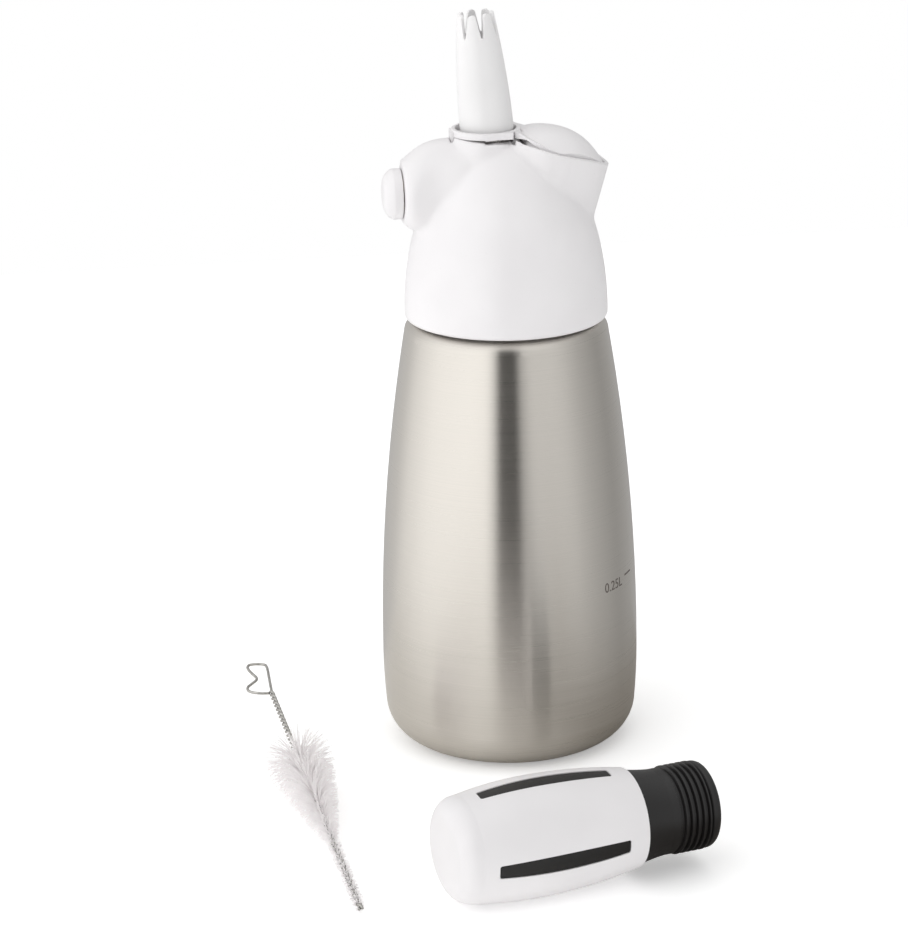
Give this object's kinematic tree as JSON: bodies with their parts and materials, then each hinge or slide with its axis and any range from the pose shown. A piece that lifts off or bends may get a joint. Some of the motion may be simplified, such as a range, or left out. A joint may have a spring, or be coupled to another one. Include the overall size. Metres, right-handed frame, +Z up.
{
  "type": "cream dispenser",
  "caption": "Whipped cream dispenser: steel bottle, screw-on head with lever valve and toothed nozzle, gas port with cap, cartridge holder and cleaning brush.",
  "frame": {"origin": "centre of the bottle's standing ring, on the table", "axes": "+Z up along the bottle, -X out through the gas port, +X towards the thumb pad, -Y towards the holder and the viewer"},
  "size_m": [0.1262, 0.1833, 0.2301],
  "materials": {
    "bottle_steel": "brushed round the bottle, satin",
    "white_plastic": "moulded, half gloss",
    "holder_white": "moulded, satin",
    "holder_black": "soft matt sleeve",
    "seal_rubber": "matt",
    "plated_brass": "machined",
    "bright_steel": "machined, bright",
    "bristle_nylon": "fine translucent bristles"
  },
  "bodies": {
    "bottle_body": {"bottle": "bottle_steel"},
    "head": {"head_housing": "white_plastic", "head_gasket": "seal_rubber", "port_nipple": "plated_brass", "piercing_pin": "bright_steel", "check_valve_seal": "seal_rubber", "charger_seal": "seal_rubber", "valve_bush": "plated_brass", "hinge_pin": "bright_steel", "return_spring": "bright_steel"},
    "thumb_lever": {"lever": "white_plastic"},
    "stem": {"valve_stem": "bright_steel", "stem_o_ring": "seal_rubber", "valve_seal": "seal_rubber", "valve_nut": "bright_steel"},
    "nozzle": {"nozzle_tip": "white_plastic"},
    "cap": {"port_cap": "white_plastic"},
    "charger_holder": {"holder_casing": "holder_white", "holder_core": "holder_black"},
    "cleaning_brush": {"brush_wire": "bright_steel", "brush_bristles": "bristle_nylon", "brush_tail_bristles": "bristle_nylon"}
  },
  "joints": [
    {"name": "head_lift", "type": "slide", "parent": "bottle_body", "child": "head", "axis": [0, 0, 1], "range_m": [0, 0.03]},
    {"name": "lever_press", "type": "hinge", "parent": "head", "child": "thumb_lever", "pos_m": [-0.015, 0, 0.1885], "axis": [0, 1, 0], "range_deg": [0, 5]},
    {"name": "stem_stroke", "type": "slide", "parent": "head", "child": "stem", "axis": [0.0872, 0, -0.9962], "range_m": [0, 0.00083], "stiffness_N_per_m": 600, "springref_m": -0.001, "deforming": ["return_spring"]},
    {"name": "nozzle_lift", "type": "slide", "parent": "stem", "child": "nozzle", "axis": [-0.0872, 0, 0.9962], "range_m": [0, 0.03]},
    {"name": "cap_pull", "type": "slide", "parent": "head", "child": "cap", "axis": [-1, 0, 0], "range_m": [0, 0.02]},
    {"name": "holder_lift", "type": "slide", "parent": "bottle_body", "child": "charger_holder", "axis": [0, 0, 1], "range_m": [0, 0.05]},
    {"name": "brush_lift", "type": "slide", "parent": "bottle_body", "child": "cleaning_brush", "axis": [0, 0, 1], "range_m": [0, 0.05]}
  ],
  "couplings": [
    {"joint": "lever_press", "follows": "stem_stroke", "rad_per_m": 105}
  ]
}
